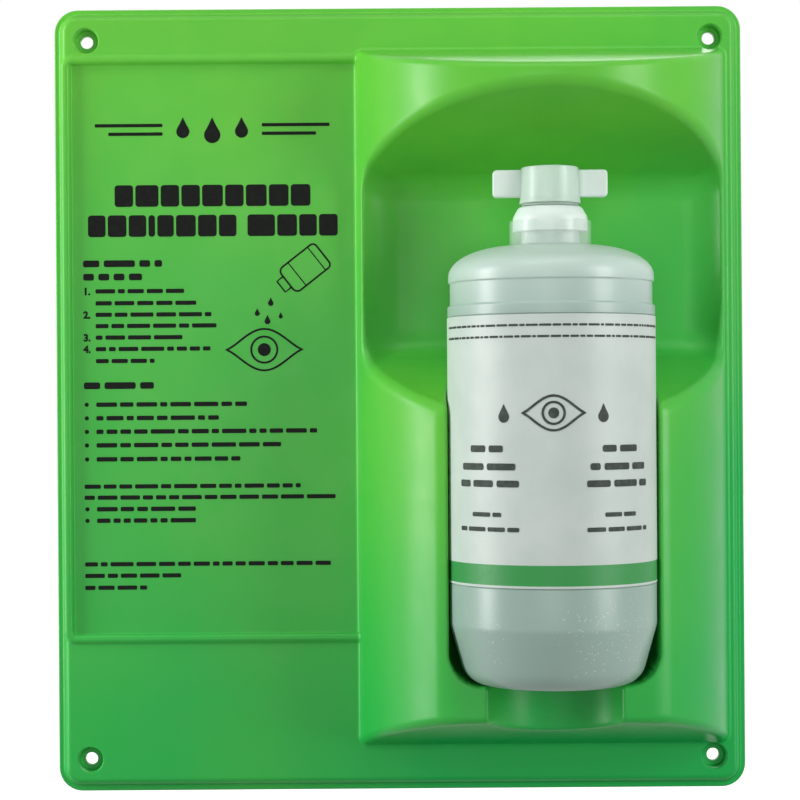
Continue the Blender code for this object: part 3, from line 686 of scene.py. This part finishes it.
# Profiles of the bottle: (radius, height, fillet) corners, and plain (radius, height) points for arcs
SHOULDER_TURN = [math.radians(v) for v in range(6, 91, 6)]
SHOULDER = [(17.2 + 26.0 * math.cos(a), 171.3 + 12.7 * math.sin(a)) for a in SHOULDER_TURN]
OUTSIDE = rounded([(0, 2.0, 0), (16.0, 1.4, 4), (20.5, 0.0, 2.5), (36.4, 0.0, 10.5), (43.6, 25.5, 7),
                   (43.6, 42.4, 0.25), (43.2, 42.8, 0.25), (43.2, 154.2, 0.25), (43.6, 154.6, 0.25),
                   (43.6, 158.6, 0.7), (42.5, 159.3, 0.6), (42.5, 168.3, 0.6), (43.2, 168.9, 0.6),
                   (43.2, 171.0, 0)])
INSIDE = rounded([(0, 2.9, 0), (16.2, 2.3, 4), (20.8, 0.9, 2), (35.7, 0.9, 9.6), (42.7, 24.2, 16),
                  (42.7, 158.2, 0.7), (41.6, 159.1, 0.6), (41.6, 168.5, 0.6), (42.3, 169.2, 0.6),
                  (42.3, 171.0, 0)])
NECK_OUT = [(14.0, 184.0), (12.9, 184.3), (12.4, 184.8), (12.2, 185.5), (12.2, 196.6), (11.8, NECK_TOP)]
NECK_IN = [(10.8, NECK_TOP), (10.4, 196.6), (10.4, 183.5), (12.0, 183.1)]
SHOULDER_IN = [(r * 0.979, h - 0.9) for r, h in SHOULDER]
SHELL = OUTSIDE + SHOULDER + NECK_OUT + NECK_IN + SHOULDER_IN[::-1] + INSIDE[::-1]
add_piece("bottle_shell", lathe("bottle_shell", SHELL), "bottle", bottle_plastic(),
          "bottle_body", True)

FILL_GAP = 0.3
FILL_FOOT = 10
FILL_RIM = LEVEL - 0.9
FILL = [(max(r - FILL_GAP, 0), h + (FILL_GAP if h < FILL_FOOT else 0)) for r, h in INSIDE if h < FILL_RIM]
MENISCUS = [(41.6, LEVEL), (41.2, LEVEL - 0.35), (40.4, LEVEL - 0.6), (38.5, LEVEL - 0.7), (0, LEVEL - 0.7)]
add_piece("saline", lathe("saline", FILL + MENISCUS, segments=96), "bottle", saline_liquid(),
          "saline_fill", True)


def add_ring(name, corners, body, surface, node):
    """A turned ring about the bottle's axis, from the corners of its closed profile."""
    add_piece(name, lathe(name, rounded(corners, True), True), body, surface, node, True)


add_ring("label_sleeve", [(LABEL_IN, LABEL_LOW, 0.1), (LABEL_OUT, LABEL_LOW, 0.1),
                          (LABEL_OUT, LABEL_HIGH, 0.1), (LABEL_IN, LABEL_HIGH, 0.1)],
         "bottle", label_film(), "bottle_label")
add_ring("clear_band", [(16.4, 184.3, 0.2), (17.2, 184.3, 0.3), (17.2, 194.7, 0.3), (16.0, 194.7, 0.3),
                        (16.0, 193.9, 0.2), (16.4, 193.4, 0.2)],
         "bottle", clear_film(), "tamper_band")
add_ring("domed_cap", [(12.5, 190.0, 0.4), (15.7, 190.0, 0.5), (15.7, 196.2, 4.0), (13.2, 200.7, 2.0),
                       (10.2, 200.7, 0.4), (10.2, 197.3, 0.4), (12.5, 197.3, 0.3)],
         "bottle", CLOSURE, "closure_cap")
add_ring("web_ring", [(10.2, 201.0, 0.15), (12.0, 201.0, 0.15), (12.0, 201.6, 0.15), (10.2, 201.6, 0.15)],
         "web", CLOSURE, "tear_web")

WING_REACH = 24.2
WING_LOW = 204.7
WING_HIGH = 216.3
WING_HALF = 2.2
WING_CORNER = 1.8
WING_EDGE = 0.9


def carved(mesh, steps):
    """A mesh after Boolean steps, each an operation and a tool mesh."""
    work = bpy.data.objects.new("carving", mesh)
    bpy.context.scene.collection.objects.link(work)
    tools = []
    for operation, tool_mesh in steps:
        tool = bpy.data.objects.new("carving_tool", tool_mesh)
        bpy.context.scene.collection.objects.link(tool)
        tools.append(tool)
        step = work.modifiers.new(operation, "BOOLEAN")
        step.operation = operation
        step.solver = "EXACT"
        step.object = tool
    view = bpy.context.evaluated_depsgraph_get()
    result = bpy.data.meshes.new_from_object(work.evaluated_get(view))
    for item in (work, *tools):
        bpy.data.objects.remove(item)
    result.set_sharp_from_angle(angle=SHARP)
    return result


def wing_bar():
    """The two wings as one bar through the cup, with rounded corners and edges."""
    bm = bmesh.new()
    bmesh.ops.create_cube(bm, size=1.0)
    for v in bm.verts:
        v.co = Vector((v.co.x * 2 * WING_REACH, v.co.y * 2 * WING_HALF,
                       (WING_LOW + WING_HIGH) / 2 + v.co.z * (WING_HIGH - WING_LOW))) * MM
    upright = [e for e in bm.edges if abs(e.verts[0].co.y - e.verts[1].co.y) > WING_HALF * MM]
    bmesh.ops.bevel(bm, geom=upright, offset=WING_CORNER * MM, segments=6, profile=0.5, affect="EDGES")
    rims = [e for e in bm.edges if any(abs(f.normal.y) > 0.9 for f in e.link_faces)]
    bmesh.ops.bevel(bm, geom=rims, offset=WING_EDGE * MM, segments=4, profile=0.5, affect="EDGES")
    for face in bm.faces:
        face.smooth = True
    mesh = bpy.data.meshes.new("wing_bar")
    bm.to_mesh(mesh)
    bm.free()
    return mesh


CUP = lathe("winged_top", rounded([(0, TOP_FOOT, 0), (13.0, TOP_FOOT, 0.5), (12.6, 204.2, 1.5),
                                   (12.1, TOP_CROWN, 0.6), (0, TOP_CROWN, 0)]))
HOLLOW = lathe("cup_hollow", rounded([(0, 204.3, 0), (10.4, 204.3, 0.8), (10.5, 216.7, 0.6),
                                      (11.0, TOP_CROWN + 0.2, 0), (11.0, TOP_CROWN + 2, 0),
                                      (0, TOP_CROWN + 2, 0)]))
add_piece("winged_top", carved(CUP, [("UNION", wing_bar()), ("DIFFERENCE", HOLLOW)]), "top", CLOSURE,
          "twist_off_top", True)


BAR_STEP = 1.2
DISC_SIDES = 28
LID_STEPS = 14
IRIS_SIDES = 32


class Print:
    """Flat ink shapes drawn in (x, z) millimetres and laid on a surface by its place function."""

    def __init__(self, place):
        self.bm = bmesh.new()
        self.place = place

    def point(self, x, z):
        """A new corner of ink."""
        return self.bm.verts.new(self.place(x, z))

    def strip(self, columns):
        """A strip of ink through columns of (x, low z, high z)."""
        rows = [(self.point(x, low), self.point(x, high)) for x, low, high in columns]
        for (a, b), (c, d) in zip(rows, rows[1:]):
            self.bm.faces.new((a, c, d, b))

    def bar(self, left, right, z, height, corner=0.5):
        """A bar with rounded ends; corner is the share of its half height that the rounding takes."""
        r = corner * height / 2
        turns = [r * (1 - math.cos(math.radians(a))) for a in (0, 22, 45, 67, 90)]
        run = right - left - 2 * r
        count = max(1, round(run / BAR_STEP))
        xs = [left + t for t in turns] + [left + r + run * i / count for i in range(1, count)]
        xs += [right - t for t in reversed(turns)]
        columns = []
        for x in xs:
            near = min(x - left, right - x)
            inset = r - math.sqrt(max(r * r - max(r - near, 0) ** 2, 0))
            columns.append((x, z - height / 2 + inset, z + height / 2 - inset))
        self.strip(columns)

    def words(self, left, right, z, height, seed):
        """A line of word-length bars."""
        pick = random.Random(seed)
        x = left
        while right - x > height:
            end = min(x + height * pick.choice((1.6, 2.4, 3.0, 3.8, 4.6, 5.4)), right)
            if right - end < height * 1.6:
                end = right
            self.bar(x, end, z, height, 0.6)
            x = end + height * 0.65

    def blocks(self, left, right, z, height, shares):
        """A heading of letter-width blocks; a negative share is a space."""
        unit = (right - left) / sum(abs(v) for v in shares)
        x = left
        for share in shares:
            if share > 0:
                self.bar(x + 0.5, x + share * unit - 0.5, z, height, 0.28)
            x += abs(share) * unit

    def line(self, points, width, closed=False):
        """A drawn line of even width through points."""
        points = [Vector(p) for p in points]
        count = len(points)
        sides = []
        for i, p in enumerate(points):
            before = points[i - 1] if closed or i > 0 else p
            after = points[(i + 1) % count] if closed or i < count - 1 else p
            along = (after - before).normalized()
            across = Vector((-along.y, along.x)) * width / 2
            sides.append((self.point(*(p - across)), self.point(*(p + across))))
        pairs = list(zip(sides, sides[1:]))
        if closed:
            pairs.append((sides[-1], sides[0]))
        for (a, b), (c, d) in pairs:
            self.bm.faces.new((a, c, d, b))

    def disc(self, x, z, radius):
        """A filled disc."""
        turn = [2 * math.pi * k / DISC_SIDES for k in range(DISC_SIDES)]
        self.bm.faces.new([self.point(x + radius * math.cos(a), z + radius * math.sin(a)) for a in turn])

    def drop(self, x, z, size):
        """A filled water drop with its point up."""
        turn = [math.radians(v) for v in range(150, 391, 12)]
        rim = [(x + size * math.cos(a), z + size * math.sin(a)) for a in turn]
        rim += [(x + size * 0.45, z + size * 1.25), (x, z + size * 2.2), (x - size * 0.45, z + size * 1.25)]
        self.bm.faces.new([self.point(*p) for p in rim])

    def eye(self, x, z, width, weight):
        """An open eye: lids, iris ring and pupil."""
        half = width / 2
        high = width * 0.27
        iris = width * 0.17

        def lid(t, way):
            return (x + half * t / LID_STEPS, z + way * high * math.cos(math.pi * t / (2 * LID_STEPS)) ** 1.4)

        lids = [lid(t, 1) for t in range(-LID_STEPS, LID_STEPS + 1)]
        lids += [lid(t, -1) for t in range(LID_STEPS - 1, -LID_STEPS, -1)]
        self.line(lids, weight, True)
        turn = [2 * math.pi * k / IRIS_SIDES for k in range(IRIS_SIDES)]
        self.line([(x + iris * math.cos(a), z + iris * math.sin(a)) for a in turn], weight, True)
        self.disc(x, z, width * 0.085)

    def piece(self, name, body, surface):
        bmesh.ops.recalc_face_normals(self.bm, faces=self.bm.faces)
        mesh = bpy.data.meshes.new(name)
        self.bm.to_mesh(mesh)
        self.bm.free()
        return add_piece(name, mesh, body, surface)


INK_LIFT = 0.05
LABEL_INK_R = 43.95


def on_sign(x, z):
    """A point on the sign field."""
    return (x * MM, -(SIGN_FLOOR + INK_LIFT) * MM, z * MM)


def on_label(arc, height):
    """A point on the label, at an arc length round from its front and a height above the base."""
    turn = arc / LABEL_INK_R
    return ((AXIS_X + LABEL_INK_R * math.sin(turn)) * MM, -(AXIS_D + LABEL_INK_R * math.cos(turn)) * MM,
            (BASE_Z + height) * MM)


# Widths of the headings' blocks, and places of the sign's lines: (height, right end) and a numeral
TITLE_ONE = (9, 11, 9, 9, 10, 9, 10, 9.5, 9.5)
TITLE_TWO = (9, 9.5, 9, 4, 8.5, 10, 9.5, 9, -4, 13.5, 10, 9, 9.5)
SIGN_MIDDLE = -82.4
SIGN_LEFT_EDGE = -140.0
SIGN_INDENT = -134.6
NUMBERED = ((48.3, -95.3, "1"), (43.0, -90.0, ""), (37.9, -83.3, "2"), (32.9, -81.1, ""),
            (27.8, -96.2, "3"), (22.7, -83.8, "4"), (17.4, -108.6, ""))
BULLETS = ((-1.9, -67.8), (-7.9, -77.1), (-13.9, -36.8), (-19.9, -52.8), (-26.1, -70.9), (-48.2, -90.8),
           (-53.3, -90.8))
PLAIN = ((-38.2, -44.3), (-43.1, -28.8), (-72.6, -31.1), (-77.7, -97.5), (-83.0, -112.6))
TITLE_TEXT = 9.6
HEADING_TEXT = 3.0
BULLET_TEXT = 2.0
SMALL_TEXT = 1.9
NUMERAL_TEXT = 4.3
NUMERAL_WEIGHT = 0.22
BULLET_R = 0.95

# Head of the sign: three drops, the outer two smaller and higher, between pairs of (rise, reach) rules
HEAD_Z = 119.0
DROP_Z = 117.2
DROP_GAP = 13.0
DROP_SIZE = 3.6
OUTER_LESS = 0.7
OUTER_RISE = 1.6
RULES = ((2.6, 52.0), (-1.2, 46.0))
RULE_START = 22.0
RULE_WEIGHT = 1.5


def numeral(target, text, x, z, height):
    """Adds a plain numeral, drawn with the built-in font."""
    curve = bpy.data.curves.new("numeral", "FONT")
    curve.body = text
    curve.size = height
    curve.offset = NUMERAL_WEIGHT
    work = bpy.data.objects.new("numeral", curve)
    bpy.context.scene.collection.objects.link(work)
    mesh = bpy.data.meshes.new_from_object(work.evaluated_get(bpy.context.evaluated_depsgraph_get()))
    corners = [target.point(x + v.co.x, z + v.co.y) for v in mesh.vertices]
    for face in mesh.polygons:
        target.bm.faces.new([corners[i] for i in face.vertices])
    bpy.data.objects.remove(work)
    bpy.data.meshes.remove(mesh)


def sign_print():
    """The sign's ink: headings, numbered steps, lines and three drops between rules at its head, all without
    words.
    """
    ink_work = Print(on_sign)
    for place in (-1, 0, 1):
        outer = abs(place)
        ink_work.drop(SIGN_MIDDLE + place * DROP_GAP, DROP_Z + OUTER_RISE * outer,
                      DROP_SIZE - OUTER_LESS * outer)
    for way in (-1, 1):
        for rise, reach in RULES:
            ends = sorted((SIGN_MIDDLE + way * RULE_START, SIGN_MIDDLE + way * reach))
            ink_work.bar(*ends, HEAD_Z + rise, RULE_WEIGHT)
    ink_work.blocks(-126.3, -38.6, 90.4, TITLE_TEXT, TITLE_ONE)
    ink_work.blocks(-138.2, -26.6, 77.1, TITLE_TEXT, TITLE_TWO)
    ink_work.words(SIGN_LEFT_EDGE, -105.0, 60.5, HEADING_TEXT, 1)
    ink_work.words(SIGN_LEFT_EDGE, -113.9, 54.6, HEADING_TEXT, 2)
    for row, (z, right, text) in enumerate(NUMBERED):
        ink_work.words(SIGN_INDENT, right, z, SMALL_TEXT, 10 + row)
        if text:
            numeral(ink_work, text + ".", SIGN_LEFT_EDGE, z - 1.5, NUMERAL_TEXT)
    ink_work.words(SIGN_LEFT_EDGE, -109.0, 6.5, HEADING_TEXT, 3)
    for row, (z, right) in enumerate(BULLETS):
        ink_work.disc(SIGN_LEFT_EDGE + 1.2, z, BULLET_R)
        ink_work.words(SIGN_INDENT, right, z, BULLET_TEXT, 30 + row)
    for row, (z, right) in enumerate(PLAIN):
        ink_work.words(SIGN_LEFT_EDGE, right, z, SMALL_TEXT, 50 + row)
    ink_work.piece("sign_print", "panel", BLACK)


# The sign's drawing: an eye, falling drops of (x, z, size) and a bottle drawn about its own middle
POURED = ((-58.5, 34.5, 1.3), (-63.0, 38.0, 1.1), (-57.0, 42.5, 1.2), (-52.6, 36.6, 0.9))
DRAWN_BODY = ((-9, 6.5, 2.5), (11, 6.5, 2.0), (11, -6.5, 2.0), (-9, -6.5, 2.5))
DRAWN_NECK = ((-9.0, 3.0), (-12.5, 3.0), (-12.5, -3.0), (-9.0, -3.0))
DRAWN_BANDS = (-3.5, 7.5)
DRAWN_HALF = 6.5
DRAWN_MIDDLE = (-42.5, 57.5)
DRAWN_LEAN = math.radians(38)
EYE_WEIGHT = 0.9
OUTLINE_WEIGHT = 0.8
BAND_WEIGHT = 0.5


def pour_drawing():
    """A line drawing of a tilted bottle that pours over an open eye."""
    art = Print(on_sign)
    art.eye(-60.0, 22.0, 34.0, EYE_WEIGHT)
    for x, z, size in POURED:
        art.drop(x, z, size)

    def turned(points):
        c = math.cos(DRAWN_LEAN)
        s = math.sin(DRAWN_LEAN)
        return [(DRAWN_MIDDLE[0] + x * c - z * s, DRAWN_MIDDLE[1] + x * s + z * c) for x, z in points]

    art.line(turned(rounded(DRAWN_BODY, True)), OUTLINE_WEIGHT, True)
    art.line(turned(DRAWN_NECK), OUTLINE_WEIGHT)
    for x in DRAWN_BANDS:
        art.line(turned([(x, DRAWN_HALF), (x, -DRAWN_HALF)]), BAND_WEIGHT)
    art.piece("pour_drawing", "panel", BLACK)


# The label's lines: heights of the fine ones, ends of the two columns, and rows of (height, trim at each end)
FINE_ROWS = (149.6, 145.0)
FINE_TEXT = 0.9
COLUMNS = ((-48.5, -17.5), (10.5, 43.0))
LARGE_ROWS = ((99.5, 7.0), (92.2, 1.5), (85.3, 0.0))
LARGE_TEXT = 2.8
FOOT_ROWS = ((72.7, 8.0), (66.7, 0.0))
FOOT_TEXT = 1.8


def label_print():
    """The label's ink: lines in two columns, two fine lines at its top and a plain eye mark."""
    art = Print(on_label)
    for row, height in enumerate(FINE_ROWS):
        art.words(-62.0, 58.0, height, FINE_TEXT, 70 + row)
    for column, (left, right) in enumerate(COLUMNS):
        for row, (height, trim) in enumerate(LARGE_ROWS):
            art.words(left + trim, right - trim, height, LARGE_TEXT, 80 + column * 10 + row)
        for row, (height, trim) in enumerate(FOOT_ROWS):
            art.words(left + trim, right - trim, height, FOOT_TEXT, 84 + column * 10 + row)
    art.eye(-3.0, 114.0, 26.0, 1.0)
    for arc in (-24.0, 18.0):
        art.drop(arc, 112.5, 2.4)
    art.piece("label_print", "bottle", GREY)


sign_print()
pour_drawing()
label_print()


# Camera at the photograph's viewing angle; a pixel spans PIXEL millimetres at one metre
PIXEL = 0.4456
FRAME = 800
SENSOR = 36.0
CAMERA_PLACE = (-0.0222, -1.0, -0.0028)
CAMERA_ROLL = math.radians(-0.4)
camera_data = bpy.data.cameras.new("view_camera")
camera_data.sensor_width = SENSOR
camera_data.lens = SENSOR / (PIXEL * MM * FRAME)
camera_data.shift_x = 50 / FRAME
camera_data.shift_y = 5 / FRAME
camera = bpy.data.objects.new("view_camera", camera_data)
camera.matrix_world = (Matrix.Translation(CAMERA_PLACE) @ Matrix.Rotation(math.pi / 2, 4, "X")
                       @ Matrix.Rotation(CAMERA_ROLL, 4, "Z"))
bpy.context.scene.collection.objects.link(camera)
bpy.context.scene.camera = camera
bpy.context.scene.view_settings.view_transform = "Standard"


STAGE_HALF = 6.0
STAGE_DROP = 0.12
FLOOR_GREY = 0.25
AMBIENT = 0.15

# The floor's glow: fainter near the object, where its shadow falls, and white further out
GLOW_NEAR = 0.4
GLOW_FAR = 0.7
GLOW_LEAST = 0.6


def stage():
    """A pale floor below the object and a white surround."""
    mesh = bpy.data.meshes.new("floor")
    level = CAD_LOW[2] - STAGE_DROP
    corners = [(x * STAGE_HALF, y * STAGE_HALF, level) for x, y in ((-1, -1), (1, -1), (1, 1), (-1, 1))]
    mesh.from_pydata(corners, [], [(0, 1, 2, 3)])
    floor = bpy.data.objects.new("floor", mesh)
    bpy.context.scene.collection.objects.link(floor)
    n = Look("pale_floor")
    path = n.node("ShaderNodeLightPath")
    mirrored = n.math("MAXIMUM", path.outputs["Is Glossy Ray"], path.outputs["Is Transmission Ray"])
    seen = n.math("MAXIMUM", path.outputs["Is Camera Ray"], mirrored)
    away = n.node("ShaderNodeVectorMath", {0: n.place()}, operation="LENGTH").outputs["Value"]
    n.set(Base_Color=(FLOOR_GREY, FLOOR_GREY, FLOOR_GREY, 1.0), Roughness=0.9,
          Emission_Color=(1.0, 1.0, 1.0, 1.0),
          Emission_Strength=n.math("MULTIPLY", seen, n.span(away, GLOW_NEAR, GLOW_FAR, GLOW_LEAST, 1.0)))
    mesh.materials.append(n.material)

    world = bpy.data.worlds.new("surround")
    world.use_nodes = True
    bpy.context.scene.world = world
    tree = world.node_tree
    path = tree.nodes.new("ShaderNodeLightPath")
    seen = path.outputs["Is Camera Ray"]
    for ray in ("Is Glossy Ray", "Is Transmission Ray"):
        either = tree.nodes.new("ShaderNodeMath")
        either.operation = "MAXIMUM"
        tree.links.new(seen, either.inputs[0])
        tree.links.new(path.outputs[ray], either.inputs[1])
        seen = either.outputs["Value"]
    strength = tree.nodes.new("ShaderNodeMapRange")
    strength.inputs["To Min"].default_value = AMBIENT
    strength.inputs["To Max"].default_value = 1.0
    tree.links.new(seen, strength.inputs["Value"])
    background = tree.nodes["Background"]
    background.inputs["Color"].default_value = (1.0, 1.0, 1.0, 1.0)
    tree.links.new(strength.outputs["Result"], background.inputs["Strength"])


def lamp(name, place, aim, size, power):
    """A soft rectangular lamp."""
    data = bpy.data.lights.new(name, "AREA")
    data.shape = "RECTANGLE"
    data.size, data.size_y = size
    data.energy = power
    item = bpy.data.objects.new(name, data)
    item.location = place
    item.rotation_euler = (Vector(aim) - Vector(place)).to_track_quat("-Z", "Y").to_euler()
    bpy.context.scene.collection.objects.link(item)


stage()
lamp("left_side_lamp", (-0.95, -0.22, 0.15), (0.0, -0.03, 0.03), (0.28, 0.9), 9.5)
lamp("front_lamp", (-0.05, -1.2, 0.05), (0.0, 0.0, 0.0), (0.5, 0.5), 1.5)
lamp("right_lamp", (0.88, -0.62, 0.2), (0.0, 0.0, 0.03), (0.35, 0.9), 7.0)
lamp("top_lamp", (0.0, -0.4, 0.9), (0.0, 0.0, 0.0), (0.9, 0.4), 2.6)
lamp("rear_lamp", (0.3, 0.9, 0.5), (0.0, 0.0, 0.0), (0.6, 0.6), 4.0)
